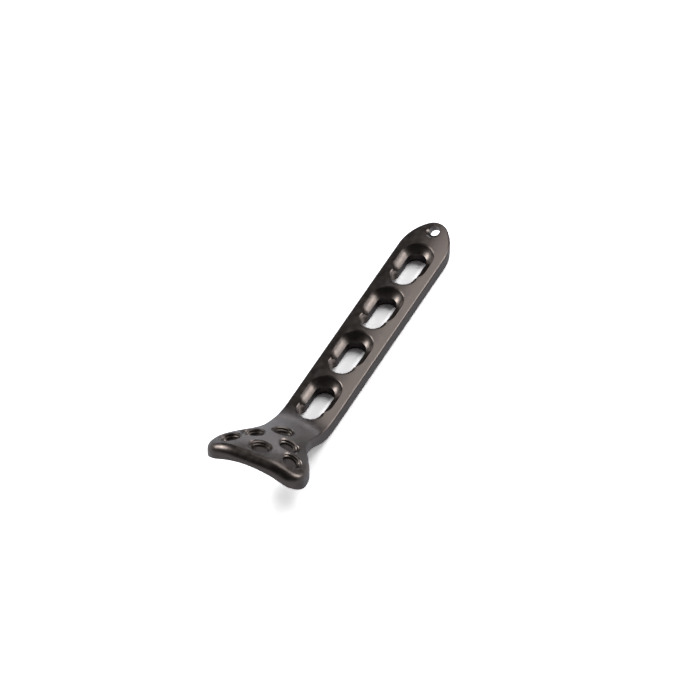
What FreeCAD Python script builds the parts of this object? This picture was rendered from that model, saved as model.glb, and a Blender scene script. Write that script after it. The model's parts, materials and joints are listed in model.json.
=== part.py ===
import FreeCAD, Part
import math
import os

V = FreeCAD.Vector

# Driving sizes, in mm. X runs from the head to the tip, Y across, Z up off the bone.
hole_pitch = 13.0          # spacing of the combination holes
hole_count = 4
shaft_width = 10.0
shaft_height = 3.7         # crown of the shaft above the bone side
shaft_crown_radius = 25.0
shaft_hollow = 0.3         # depth of the long hollow along the bone side
tip_length = 13.2          # last combination hole to the nose
tip_taper = 8.0            # length of the pointed end
tip_nose_radius = 2.9
nose_ramp_run = 4.9        # the bone side climbs over this length up to the nose
nose_ramp_angle = 24.0     # slope of that climb, degrees

neck_run = 2.3             # first combination hole to the start of the bend
neck_radius = 12.4
neck_angle = 32.0          # slope of the head, degrees
head_rise = 11.2           # front edge's middle above the shaft's crown
head_length = 27.3         # first combination hole to the front edge
brow_start = 11.3          # the slope levels off from here to the front edge
head_width = 19.7
head_thick = 2.65
neck_crown_radius = 12.0
head_flat = 6.0            # width of the level middle of the head
wing_radius = 9.1          # arc from the middle into the wings
wing_angle = 28.5          # slope of the wings, degrees
head_belly_radius = 15.0   # arch of the bone side under the head
corner_radius = 3.1
flare_angle = 32.0
flare_radius = 8.3

shaft_edge = 0.6           # rounding of the outer edges
head_edge = 1.6
bone_edge = 0.4            # bevel of the edges on the bone side

slot_width = 4.0           # combination hole
dish_radius = 4.1
dish_lift = 2.1            # centre of the dish above the crown
dish_lip = 0.2             # width of the bevel around the dish
dish_lip_slope = 60.0      # lean of the bevel from upright, degrees
dish_near = 0.0
dish_far = 2.9
thread_offset = 2.7
thread_major_radius = 2.6
thread_lead_in = 0.3

lock_radius = 1.5          # locking holes of the head
lock_mouth_radius = 2.15   # wide end of the taper
lock_sink = 1.35           # depth of the taper
lock_lip = 0.22            # depth of the bevelled lip above the taper
lip_lean = 43.0            # slope of the lips from the hole's axis, degrees
back_hole_from_front = 13.85
back_hole_lean = 22.0      # lean of the axis to the back, degrees
mid_row_from_front = 9.2
mid_row_spread = 7.3
mid_row_lean = 20.0
mid_row_splay = 18.0       # lean of the axis outward, degrees
front_hole_from_front = 4.9
front_hole_lean = 16.0
front_row_from_front = 5.0
front_row_spread = 12.9
front_row_lean = 18.0
front_row_splay = 22.0

wire_radius = 1.05         # wire hole in the tip
wire_from_nose = 2.5
wire_lip = 0.27
wire_lean = -22.0          # lean of the axis, close to square to the ramp


# Where one cross-section turns into the next, behind the first hole or the front edge.
crown_turns = (2.0, 14.0)      # shaft crown into neck crown, from the first hole
wings_turn = (12.0, 3.5)       # neck crown into wings, from the first hole and the front edge
hollow_turns = (5.0, 19.0)     # shaft hollow into head arch, from the first hole

# Construction values.
end_margin = 2.0           # the height surfaces run past the plate by these two
side_margin = 1.5
grid_rows = 27
grid_columns = 19
cutter_rise = 2.0          # how far the cutters of round holes stand above the plate
cutter_drop = 12.0         # how far all cutters reach below it
join_tolerance = 0.001     # between the head's surface and the shaft's
on_surface = 0.1           # an edge this close to a height surface belongs to it
on_split = 1e-4


def smooth(a, b, x):
    t = min(max((x - a) / (b - a), 0.0), 1.0)
    return t * t * t * (t * (6.0 * t - 15.0) + 10.0)


# Stations along X. The frame's origin is midway between front edge and nose.
overall = head_length + hole_pitch * (hole_count - 1) + tip_length
front_x = -overall / 2.0
nose_x = overall / 2.0
first_hole = front_x + head_length
stations = [first_hole + hole_pitch * i for i in range(hole_count)]
bend_x = first_hole - neck_run
taper_x = nose_x - tip_taper
half = shaft_width / 2.0
head_half = head_width / 2.0

slope = math.tan(math.radians(neck_angle))
neck_end = bend_x - neck_radius * math.sin(math.radians(neck_angle))
brow_x = front_x + brow_start
neck_rise = neck_radius * (1.0 - math.cos(math.radians(neck_angle)))
brow_rise = neck_rise + (neck_end - brow_x) * slope
brow_sag = (brow_rise + brow_start * slope - head_rise) / brow_start ** 2


def centre_height(x):
    """Rise of the middle line of the head over the shaft."""
    if x >= bend_x:
        return 0.0
    if x >= neck_end:
        d = bend_x - x
        return neck_radius - math.sqrt(neck_radius ** 2 - d * d)
    if x >= brow_x:
        return neck_rise + (neck_end - x) * slope
    d = brow_x - x
    return brow_rise + d * slope - brow_sag * d * d


def round_droop(radius, y):
    return radius - math.sqrt(radius ** 2 - min(y * y, 0.9 * radius ** 2))


def wing_droop(y):
    a = math.radians(wing_angle)
    y = abs(y) - head_flat / 2.0
    if y <= 0.0:
        return 0.0
    reach = wing_radius * math.sin(a)
    if y <= reach:
        return wing_radius - math.sqrt(wing_radius ** 2 - y * y)
    return wing_radius * (1.0 - math.cos(a)) + (y - reach) * math.tan(a)


def top_z(x, y):
    neck = smooth(first_hole - crown_turns[0], first_hole - crown_turns[1], x)
    wing = smooth(first_hole - wings_turn[0], front_x + wings_turn[1], x)
    droop = (1.0 - neck) * round_droop(shaft_crown_radius, y)
    droop += neck * (1.0 - wing) * round_droop(neck_crown_radius, y)
    droop += neck * wing * wing_droop(y)
    return shaft_height + centre_height(x) - droop


def ramp_z(x):
    return (x - nose_x + nose_ramp_run) * math.tan(math.radians(nose_ramp_angle))


def bone_z(x, y):
    k = smooth(first_hole - hollow_turns[0], first_hole - hollow_turns[1], x)
    middle = shaft_hollow * (1.0 - k) + (shaft_height - head_thick) * k
    hollow_radius = (half ** 2 + shaft_hollow ** 2) / (2.0 * shaft_hollow)
    droop = (1.0 - k) * round_droop(hollow_radius, y) + k * 0.5 * y * y / head_belly_radius
    return max(centre_height(x) + middle - droop, ramp_z(x))


def height_surface(height):
    """Surface through a grid of heights, from the front edge to just past the split."""
    rows = []
    x0, x1, nx = front_x - end_margin, split_x + end_margin, grid_rows
    w, ny = head_half + side_margin, grid_columns
    for i in range(nx):
        x = x0 + (x1 - x0) * i / (nx - 1)
        rows.append([V(x, -w + 2.0 * w * j / (ny - 1), 0) for j in range(ny)])
        for p in rows[-1]:
            p.z = height(p.x, p.y)
    surface = Part.BSplineSurface()
    surface.interpolate(rows)
    return surface.toShape()


def arc(a, m, b):
    return Part.Arc(a, m, b).toShape()


def outline():
    """Plan of the plate: tangent arcs and lines, left half then mirrored."""
    edges = []
    rn = tip_nose_radius
    rs = (tip_taper ** 2 - 2 * tip_taper * rn + half ** 2) / (2 * (half - rn))
    cn = V(nose_x - rn, 0, 0)
    cs = V(taper_x, half - rs, 0)
    join = (cn - cs).normalize()
    touch = cs + join * rs
    a0 = math.atan2(join.y, join.x)
    a1 = (a0 + math.pi / 2) / 2
    nose_mid = cn + V(math.cos(a0 / 2), math.sin(a0 / 2), 0) * rn
    side_mid = cs + V(math.cos(a1), math.sin(a1), 0) * rs
    edges.append(arc(V(nose_x, 0, 0), nose_mid, touch))
    edges.append(arc(touch, side_mid, V(taper_x, half, 0)))
    edges.append(Part.makeLine(V(taper_x, half, 0), V(flare_x, half, 0)))
    a = math.radians(flare_angle)
    r = flare_radius
    p1 = V(flare_x - r * math.sin(a), half + r * (1 - math.cos(a)), 0)
    p2 = V(corner_x + r * math.sin(a), head_half - r * (1 - math.cos(a)), 0)
    p3 = V(corner_x, head_half, 0)
    m1 = V(flare_x - r * math.sin(a / 2), half + r * (1 - math.cos(a / 2)), 0)
    m2 = V(corner_x + r * math.sin(a / 2), head_half - r * (1 - math.cos(a / 2)), 0)
    edges.append(arc(V(flare_x, half, 0), m1, p1))
    edges.append(Part.makeLine(p1, p2))
    edges.append(arc(p2, m2, p3))
    cc = V(corner_x, head_half - corner_radius, 0)
    q = corner_radius * math.sqrt(0.5)
    front = V(front_x, cc.y, 0)
    edges.append(arc(p3, cc + V(-q, q, 0), front))
    mirrored = [e.mirror(V(0, 0, 0), V(0, 1, 0)) for e in edges]
    bar = Part.makeLine(front, V(front.x, -front.y, 0))
    return Part.Wire(Part.__sortEdges__(edges + mirrored + [bar]))


def plan_prism():
    plan = Part.Face(outline())
    plan.translate(V(0, 0, -overall / 8.0))
    return plan.extrude(V(0, 0, overall / 2.0))


def head_blank():
    """Head and neck, between the two height surfaces."""
    corner = V(split_x - overall, -overall / 2.0, -overall / 2.0)
    block = Part.makeBox(overall, overall, overall, corner)
    body = plan_prism().common(block)
    above = height_surface(top_z).extrude(V(0, 0, overall))
    below = height_surface(bone_z).extrude(V(0, 0, -overall))
    return body.cut(above).cut(below).Solids[0]


def shaft_blank():
    """Straight shaft: one section run along X and cut to the plan."""
    side = shaft_height - round_droop(shaft_crown_radius, half)
    low = [V(split_x, -half, 0), V(split_x, 0, shaft_hollow), V(split_x, half, 0)]
    high = [V(split_x, half, side), V(split_x, 0, shaft_height), V(split_x, -half, side)]
    edges = [arc(*low), Part.makeLine(low[2], high[0]), arc(*high), Part.makeLine(high[2], low[0])]
    bar = Part.Face(Part.Wire(edges)).extrude(V(nose_x - split_x, 0, 0))
    return bar.common(plan_prism()).cut(nose_ramp()).Solids[0]


def nose_ramp():
    """Wedge that lifts the bone side off towards the nose."""
    ends = [(taper_x, ramp_z(taper_x)), (nose_x + 1, ramp_z(nose_x + 1)), (nose_x + 1, ramp_z(taper_x))]
    corners = [V(x, -half, z) for x, z in ends + ends[:1]]
    return Part.Face(Part.makePolygon(corners)).extrude(V(0, shaft_width, 0))


def chain(shape, height):
    """Outer edges lying on one of the two surfaces, in walking order."""
    free = []
    for i, e in enumerate(shape.Edges):
        a = e.valueAt(e.FirstParameter)
        b = e.valueAt(e.LastParameter)
        m = e.valueAt((e.FirstParameter + e.LastParameter) / 2)
        off = max(abs(p.z - height(p.x, p.y)) for p in (a, m, b))
        across = abs(a.x - split_x) + abs(b.x - split_x) < on_split
        if off < on_surface and not across:
            free.append((i, a, b))
    free.sort(key=lambda item: min(abs(item[1].x - split_x), abs(item[2].x - split_x)))
    i, a, b = free.pop(0)
    if abs(b.x - split_x) < abs(a.x - split_x):
        a, b = b, a
    walk = [(i, a, b)]
    while free:
        end = walk[-1][2]
        free.sort(key=lambda item: min((item[1] - end).Length, (item[2] - end).Length))
        i, a, b = free.pop(0)
        if (b - end).Length < (a - end).Length:
            a, b = b, a
        walk.append((i, a, b))
    return walk


def broken(shape):
    """Take the sharp edge off the bone side."""
    return shape.makeChamfer(bone_edge, [shape.Edges[i] for i, a, b in chain(shape, bone_z)])


def rounded(shape, small, big):
    """Round the crown's outer edge; the radius grows from the flare to the corners."""
    document = FreeCAD.newDocument("rounding")
    base = document.addObject("Part::Feature", "base")
    base.Shape = shape
    spec = []
    for i, a, b in chain(shape, top_z):
        grow_a = min(max((flare_x - a.x) / (flare_x - corner_x), 0.0), 1.0)
        grow_b = min(max((flare_x - b.x) / (flare_x - corner_x), 0.0), 1.0)
        spec.append((i + 1, small + (big - small) * grow_a, small + (big - small) * grow_b))
    fillet = document.addObject("Part::Fillet", "edges")
    fillet.Base = base
    fillet.Edges = spec
    document.recompute()
    result = fillet.Shape.Solids[0].copy()
    FreeCAD.closeDocument(document.Name)
    return result


def revolved(profile, centre, axis):
    """Solid of revolution of a closed wire in the XZ plane, about an axis."""
    solid = Part.Face(profile).revolve(V(0, 0, 0), V(0, 0, 1), 360)
    turn = FreeCAD.Rotation(V(0, 0, 1), axis)
    solid.Placement = FreeCAD.Placement(centre, turn)
    return solid


def run_of_lines(pairs):
    return Part.makePolygon([V(r, 0, h) for r, h in pairs]).Edges


def lipped(stem, mouth, depth):
    """Wire of a hole cutter: (radius, height) pairs, then a lip that opens past the plate."""
    wide = mouth + (cutter_rise + depth) * math.tan(math.radians(lip_lean))
    outer = [(mouth, -depth), (wide, cutter_rise), (0, cutter_rise)]
    return Part.Wire(run_of_lines(stem + outer + stem[:1]))


def dish(x, radius, lift):
    """Round trough with ball ends, its centre line lifted over the crown."""
    centre = V(x + dish_near, 0, shaft_height + lift)
    run = dish_far - dish_near
    trough = Part.makeCylinder(radius, run, centre, V(1, 0, 0))
    trough = trough.fuse(Part.makeSphere(radius, centre))
    return trough.fuse(Part.makeSphere(radius, centre + V(run, 0, 0)))


def combination_hole(x):
    """Threaded round at the head end, screw slot with a rounded dish at the other."""
    half_slot = slot_width / 2.0
    x0 = x - thread_offset
    x1 = x + dish_far
    low, crown, high = -cutter_drop, shaft_height, cutter_drop
    slot = Part.makeBox(x1 - x0, slot_width, high - low, V(x0, -half_slot, low))
    slot = slot.fuse(Part.makeCylinder(half_slot, high - low, V(x1, 0, low)))
    lip_slope = math.radians(dish_lip_slope)
    lip_radius = (math.sqrt(dish_radius ** 2 - dish_lift ** 2) + dish_lip) / math.cos(lip_slope)
    trough = dish(x, dish_radius, dish_lift).fuse(dish(x, lip_radius, lip_radius * math.sin(lip_slope)))
    r = thread_major_radius
    lead = thread_lead_in
    profile = [(0, low), (r, low), (r, crown - lead), (r + lead, crown), (r + lead, high), (0, high)]
    thread = revolved(Part.Wire(run_of_lines(profile + profile[:1])), V(x0, 0, 0), V(0, 0, 1))
    return slot.fuse(trough).fuse(thread)


def lock_axis(back, out):
    """Unit vector of a locking hole from its lean to the back and outward, degrees."""
    return V(math.tan(math.radians(back)), math.tan(math.radians(out)), 1).normalize()


def locking_hole(x, y, axis):
    stem = [(0, -cutter_drop), (lock_radius, -cutter_drop), (lock_radius, -lock_sink)]
    return revolved(lipped(stem, lock_mouth_radius, lock_lip), V(x, y, top_z(x, y)), axis)


def wire_hole():
    x = nose_x - wire_from_nose
    stem = [(0, -cutter_drop), (wire_radius, -cutter_drop)]
    axis = lock_axis(wire_lean, 0.0)
    return revolved(lipped(stem, wire_radius, wire_lip), V(x, 0, top_z(x, 0)), axis)


flare_run = 2 * flare_radius * math.sin(math.radians(flare_angle))
flare_rise = 2 * flare_radius * (1 - math.cos(math.radians(flare_angle)))
flare_line = (head_half - half - flare_rise) / math.tan(math.radians(flare_angle))
corner_x = front_x + corner_radius
flare_x = corner_x + flare_run + flare_line
split_x = first_hole + hole_pitch / 2.0

head = rounded(broken(head_blank()), shaft_edge, head_edge)
shaft = rounded(broken(shaft_blank()), shaft_edge, shaft_edge)
plate = head.fuse((shaft,), join_tolerance)

for x in stations:
    plate = plate.cut(combination_hole(x))
locks = [  # from the front edge, across, lean to the back, lean outward
    (back_hole_from_front, 0.0, back_hole_lean, 0.0),
    (mid_row_from_front, mid_row_spread / 2.0, mid_row_lean, mid_row_splay),
    (mid_row_from_front, -mid_row_spread / 2.0, mid_row_lean, -mid_row_splay),
    (front_hole_from_front, 0.0, front_hole_lean, 0.0),
    (front_row_from_front, front_row_spread / 2.0, front_row_lean, front_row_splay),
    (front_row_from_front, -front_row_spread / 2.0, front_row_lean, -front_row_splay),
]
for from_front, y, lean, splay in locks:
    plate = plate.cut(locking_hole(front_x + from_front, y, lock_axis(lean, splay)))
plate = plate.cut(wire_hole())

os.makedirs("parts", exist_ok=True)
plate.Solids[0].exportStep("parts/bone_plate.step")
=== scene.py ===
import json
import math

import bmesh
import bpy
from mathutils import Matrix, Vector


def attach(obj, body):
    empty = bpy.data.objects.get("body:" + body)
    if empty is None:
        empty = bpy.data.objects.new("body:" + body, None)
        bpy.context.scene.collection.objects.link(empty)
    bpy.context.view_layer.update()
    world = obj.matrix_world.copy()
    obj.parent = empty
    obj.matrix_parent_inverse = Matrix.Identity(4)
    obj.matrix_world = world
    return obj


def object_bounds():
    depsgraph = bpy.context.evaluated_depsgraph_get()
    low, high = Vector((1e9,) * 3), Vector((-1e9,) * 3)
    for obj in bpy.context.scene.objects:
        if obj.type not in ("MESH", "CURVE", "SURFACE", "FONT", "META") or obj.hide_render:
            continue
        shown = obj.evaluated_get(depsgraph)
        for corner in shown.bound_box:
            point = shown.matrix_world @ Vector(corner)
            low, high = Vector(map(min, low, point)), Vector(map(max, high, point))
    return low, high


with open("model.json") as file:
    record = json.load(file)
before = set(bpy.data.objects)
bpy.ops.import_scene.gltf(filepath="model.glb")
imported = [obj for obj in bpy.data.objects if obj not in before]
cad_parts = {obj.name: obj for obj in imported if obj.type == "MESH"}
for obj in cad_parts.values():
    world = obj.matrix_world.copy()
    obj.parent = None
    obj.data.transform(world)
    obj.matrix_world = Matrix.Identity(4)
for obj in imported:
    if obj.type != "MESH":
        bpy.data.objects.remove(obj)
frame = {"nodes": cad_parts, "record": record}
cad_low, cad_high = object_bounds()
plate = frame["nodes"]["bone_plate"]
mounts = {m["name"]: m for m in frame["record"]["mounts"]}

MM = 0.001

# Camera: it looks along the plate from the head, from above. Angles in degrees, distances in metres.
VIEW_AZIMUTH = -63.0
VIEW_ELEVATION = 47.5
VIEW_DISTANCE = 0.8
VIEW_TARGET = Vector((0.55, 0.0, 3.7)) * MM
PIXELS_PER_MM = 5.27
IMAGE_WIDTH = 700
TARGET_PIXEL = (348.8, 353.9)  # where the target stands in the image
SENSOR_MM = 36.0
NEAREST = 0.01
FARTHEST = 10.0

# Sizes of the plate that the threads need, in mm
CROWN = 3.7                    # height of the shaft in its middle
HOLLOW = 0.3                   # depth of the hollow on the bone side
DISH_RADIUS = 4.1
DISH_LIFT = 2.1                # from the crown up to the centre of the dish's sphere
DISH_FROM_MOUNT = 0.2
SLOT_HALF = 2.0
THREAD_WALL = 2.6              # radius of the threaded round of a combination hole
THREAD_FROM_MOUNT = 2.5        # from the mount's place to the threaded round
LOCK_BORE = 1.5
LOCK_MOUTH = 2.15
LOCK_SINK = 1.35               # depth of the taper, with its lip
LOCK_LIP = 0.22                # depth of the lip above the taper

# Fine threads, in mm
THREAD_PITCH = 0.5
THREAD_DEPTH = 0.34
THREAD_FROM_SLOT = 0.1
LOCK_PITCH = 0.42
LOCK_DEPTH = (0.12, 0.22)      # at the bore and at the mouth
RIDGE_ROOT = 0.05              # how far a ridge is sunk into its wall
RIDGE_FOOT = 0.92              # width of a foot, in parts of the pitch
RIDGE_CREST = 0.16             # width of a crest, in parts of the pitch
STEPS_PER_TURN = 72

# Anodised titanium: scales per metre, colours in linear light
NOISE_RANGE = (0.3, 0.7)       # most of a noise lies in it
MOTTLE_SCALE = 900.0
MOTTLE_DETAIL = 4.0
MOTTLE_ROUGHNESS = (0.28, 0.40)
MOTTLE_DARK = (0.104, 0.087, 0.079, 1.0)
MOTTLE_PALE = (0.126, 0.109, 0.101, 1.0)
GRAIN_SCALE = 3600.0
GRAIN_DETAIL = 3.0
GRAIN_STRENGTH = 0.3
GRAIN_HEIGHT = 0.00002

# Sockets of a Mix node that mixes colours
MIX_FACTOR = 0
MIX_FIRST = 6
MIX_SECOND = 7
MIX_RESULT = 2

# Floor, in metres
FLOOR_SIZE = 3.0
PAPER = (0.86, 0.88, 0.95, 1.0)
PAPER_SEEN = (2.6, 2.6, 2.62, 1.0)

# Lights: name, direction from the plate, distance, width and height in metres, radiance, colour
WHITE = (1.0, 1.0, 1.0)
PALE_BLUE = (0.88, 0.92, 1.0)
SOFTBOXES = (
    ("back_panel", (0.60, -0.12, 0.79), 0.9, (0.62, 0.62), 2.4, WHITE),
    ("right_box", (0.62, -0.68, 0.40), 0.8, (0.30, 0.26), 9.0, WHITE),
    ("horizon_strip", (0.94, 0.31, 0.10), 0.9, (0.60, 0.14), 3.0, PALE_BLUE),
    ("left_box", (-0.05, 0.80, 0.58), 0.8, (0.40, 0.20), 17.0, WHITE),
)
ROOM_LIGHT = 0.05


def socket(node, name, value):
    node.inputs[name].default_value = value


def anodised_metal():
    """Blasted and anodised titanium: dark brown grey, satin, with a fine grain and faint mottling."""
    material = bpy.data.materials.new("anodised_titanium")
    material.use_nodes = True
    tree = material.node_tree
    shader = tree.nodes["Principled BSDF"]
    socket(shader, "Metallic", 1.0)
    coordinates = tree.nodes.new("ShaderNodeTexCoord")

    def noise(scale, detail):
        made = tree.nodes.new("ShaderNodeTexNoise")
        socket(made, "Scale", scale)
        socket(made, "Detail", detail)
        tree.links.new(coordinates.outputs["Object"], made.inputs["Vector"])
        return made

    def spread(source, lowest, highest, to):
        made = tree.nodes.new("ShaderNodeMapRange")
        made.data_type = "FLOAT"
        socket(made, "From Min", NOISE_RANGE[0])
        socket(made, "From Max", NOISE_RANGE[1])
        socket(made, "To Min", lowest)
        socket(made, "To Max", highest)
        tree.links.new(source.outputs["Fac"], made.inputs["Value"])
        tree.links.new(made.outputs["Result"], to)

    mottle = noise(MOTTLE_SCALE, MOTTLE_DETAIL)
    spread(mottle, *MOTTLE_ROUGHNESS, shader.inputs["Roughness"])
    tint = tree.nodes.new("ShaderNodeMix")
    tint.data_type = "RGBA"
    socket(tint, MIX_FIRST, MOTTLE_DARK)
    socket(tint, MIX_SECOND, MOTTLE_PALE)
    spread(mottle, 0.0, 1.0, tint.inputs[MIX_FACTOR])
    tree.links.new(tint.outputs[MIX_RESULT], shader.inputs["Base Color"])

    grain = noise(GRAIN_SCALE, GRAIN_DETAIL)
    bump = tree.nodes.new("ShaderNodeBump")
    socket(bump, "Strength", GRAIN_STRENGTH)
    socket(bump, "Distance", GRAIN_HEIGHT)
    tree.links.new(grain.outputs["Fac"], bump.inputs["Height"])
    tree.links.new(bump.outputs["Normal"], shader.inputs["Normal"])
    return material


def floor_paper():
    """White paper. The photo is exposed past white, so the camera sees the paper brighter than it is lit.

    Every other ray meets plain paper, which lights the plate as paper would.
    """
    material = bpy.data.materials.new("floor_paper")
    material.use_nodes = True
    tree = material.node_tree
    tree.nodes.remove(tree.nodes["Principled BSDF"])
    paper = tree.nodes.new("ShaderNodeBsdfDiffuse")
    socket(paper, "Color", PAPER)
    seen = tree.nodes.new("ShaderNodeBsdfDiffuse")
    socket(seen, "Color", PAPER_SEEN)
    ray = tree.nodes.new("ShaderNodeLightPath")
    mix = tree.nodes.new("ShaderNodeMixShader")
    tree.links.new(ray.outputs["Is Camera Ray"], mix.inputs["Fac"])
    tree.links.new(paper.outputs["BSDF"], mix.inputs[1])
    tree.links.new(seen.outputs["BSDF"], mix.inputs[2])
    tree.links.new(mix.outputs["Shader"], tree.nodes["Material Output"].inputs["Surface"])
    return material


def ridge(name, turns, pitch, wall, depth, keep, place):
    """Helical thread ridge: wall and depth are formulas of the height, keep says where it stands.

    Its section has a foot sunk into the wall and a narrower crest.
    """
    foot = RIDGE_FOOT / 2
    crest = RIDGE_CREST / 2
    corners = ((True, -foot), (False, -crest), (False, crest), (True, foot))
    mesh = bmesh.new()
    last = None
    for step in range(int(turns * STEPS_PER_TURN) + 1):
        angle = 2.0 * math.pi * step / STEPS_PER_TURN
        height = pitch * step / STEPS_PER_TURN
        if not keep(angle, height):
            last = None
            continue
        section = []
        for in_wall, rise in corners:
            level = height + rise * pitch
            radius = wall(level) + RIDGE_ROOT if in_wall else wall(level) - depth(level)
            section.append(mesh.verts.new(place(angle, radius, level)))
        if last is None:
            mesh.faces.new(section)
        else:
            for corner in range(len(corners)):
                after = (corner + 1) % len(corners)
                mesh.faces.new((last[corner], last[after], section[after], section[corner]))
        last = section
    data = bpy.data.meshes.new(name)
    mesh.to_mesh(data)
    mesh.free()
    obj = bpy.data.objects.new(name, data)
    bpy.context.scene.collection.objects.link(obj)
    data.materials.append(metal)
    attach(obj, "root")


def combination_thread(name, mount):
    """Thread on the wall that the dish and the slot leave at the head end of the hole."""
    middle = Vector(mount["pos_m"])
    centre_x = middle.x / MM - THREAD_FROM_MOUNT
    dish_x = middle.x / MM + DISH_FROM_MOUNT

    def keep(angle, height):
        x = THREAD_WALL * math.cos(angle)
        y = THREAD_WALL * math.sin(angle)
        if x > 0 and abs(y) < SLOT_HALF + THREAD_FROM_SLOT:
            return False
        distance_squared = (centre_x + x - dish_x) ** 2 + y * y
        dish_floor = CROWN + DISH_LIFT - math.sqrt(max(DISH_RADIUS ** 2 - distance_squared, 0.0))
        return HOLLOW + THREAD_PITCH / 2 < height < min(dish_floor, CROWN) - THREAD_PITCH / 2

    def place(angle, radius, height):
        return Vector((centre_x + radius * math.cos(angle), radius * math.sin(angle), height)) * MM

    turns = CROWN / THREAD_PITCH
    ridge(name, turns, THREAD_PITCH, lambda height: THREAD_WALL, lambda height: THREAD_DEPTH, keep, place)


def locking_thread(name, mount):
    """Thread on the taper of a locking hole, shallower towards the bore."""
    axis = Vector(mount["axis"]).normalized()
    across = axis.orthogonal().normalized()
    along = axis.cross(across)
    deep = Vector(mount["pos_m"]) + axis * mount["dims"]["length_mm"] / 2 * MM
    run = LOCK_SINK - LOCK_LIP

    def taper(at_bore, at_mouth, height):
        return at_bore + (at_mouth - at_bore) * min(max(height / run, 0.0), 1.0)

    def wall(height):
        return taper(LOCK_BORE, LOCK_MOUTH, height)

    def depth(height):
        return taper(*LOCK_DEPTH, height)

    def keep(angle, height):
        return LOCK_PITCH / 2 < height < run - LOCK_PITCH / 3

    def place(angle, radius, height):
        return deep + (across * math.cos(angle) + along * math.sin(angle)) * radius * MM + axis * height * MM

    ridge(name, run / LOCK_PITCH, LOCK_PITCH, wall, depth, keep, place)


def make_threads():
    for name, mount in mounts.items():
        if name.startswith("combination_hole"):
            combination_thread(name.replace("hole", "thread"), mount)
        elif name.startswith("lock"):
            locking_thread(name + "_thread", mount)


def make_floor():
    bpy.ops.mesh.primitive_plane_add(size=FLOOR_SIZE, location=(0, 0, cad_low.z))
    floor = bpy.context.object
    floor.name = "floor"
    floor.data.materials.append(floor_paper())


def softbox(name, toward, distance, size, radiance, colour):
    """Area light that faces the plate and has a given brightness to the eye."""
    place = Vector(toward).normalized() * distance
    data = bpy.data.lights.new(name, "AREA")
    data.shape = "RECTANGLE"
    data.size, data.size_y = size
    data.energy = radiance * math.pi * size[0] * size[1]
    data.color = colour
    light = bpy.data.objects.new(name, data)
    bpy.context.scene.collection.objects.link(light)
    light.location = place
    light.rotation_mode = "QUATERNION"
    light.rotation_quaternion = (-place).to_track_quat("-Z", "Y")


def make_lights():
    world = bpy.data.worlds.new("studio")
    bpy.context.scene.world = world
    world.use_nodes = True
    background = world.node_tree.nodes["Background"]
    socket(background, "Color", (*WHITE, 1.0))
    socket(background, "Strength", ROOM_LIGHT)
    for box in SOFTBOXES:
        softbox(*box)
    bpy.context.scene.view_settings.view_transform = "Standard"


def make_camera():
    data = bpy.data.cameras.new("camera")
    camera = bpy.data.objects.new("camera", data)
    bpy.context.scene.collection.objects.link(camera)
    azimuth = math.radians(VIEW_AZIMUTH)
    elevation = math.radians(VIEW_ELEVATION)
    back = Vector((
        math.sin(azimuth) * math.cos(elevation),
        -math.cos(azimuth) * math.cos(elevation),
        math.sin(elevation),
    ))
    frame_width = IMAGE_WIDTH / PIXELS_PER_MM * MM
    data.sensor_width = SENSOR_MM
    data.lens = SENSOR_MM * VIEW_DISTANCE / frame_width
    data.shift_x = (IMAGE_WIDTH / 2 - TARGET_PIXEL[0]) / IMAGE_WIDTH
    data.shift_y = (TARGET_PIXEL[1] - IMAGE_WIDTH / 2) / IMAGE_WIDTH
    data.clip_start = NEAREST
    data.clip_end = FARTHEST
    camera.location = VIEW_TARGET + back * VIEW_DISTANCE
    camera.rotation_mode = "QUATERNION"
    camera.rotation_quaternion = (-back).to_track_quat("-Z", "Y")
    bpy.context.scene.camera = camera


metal = anodised_metal()
plate.data.materials.clear()
plate.data.materials.append(metal)
make_threads()
make_floor()
make_lights()
make_camera()
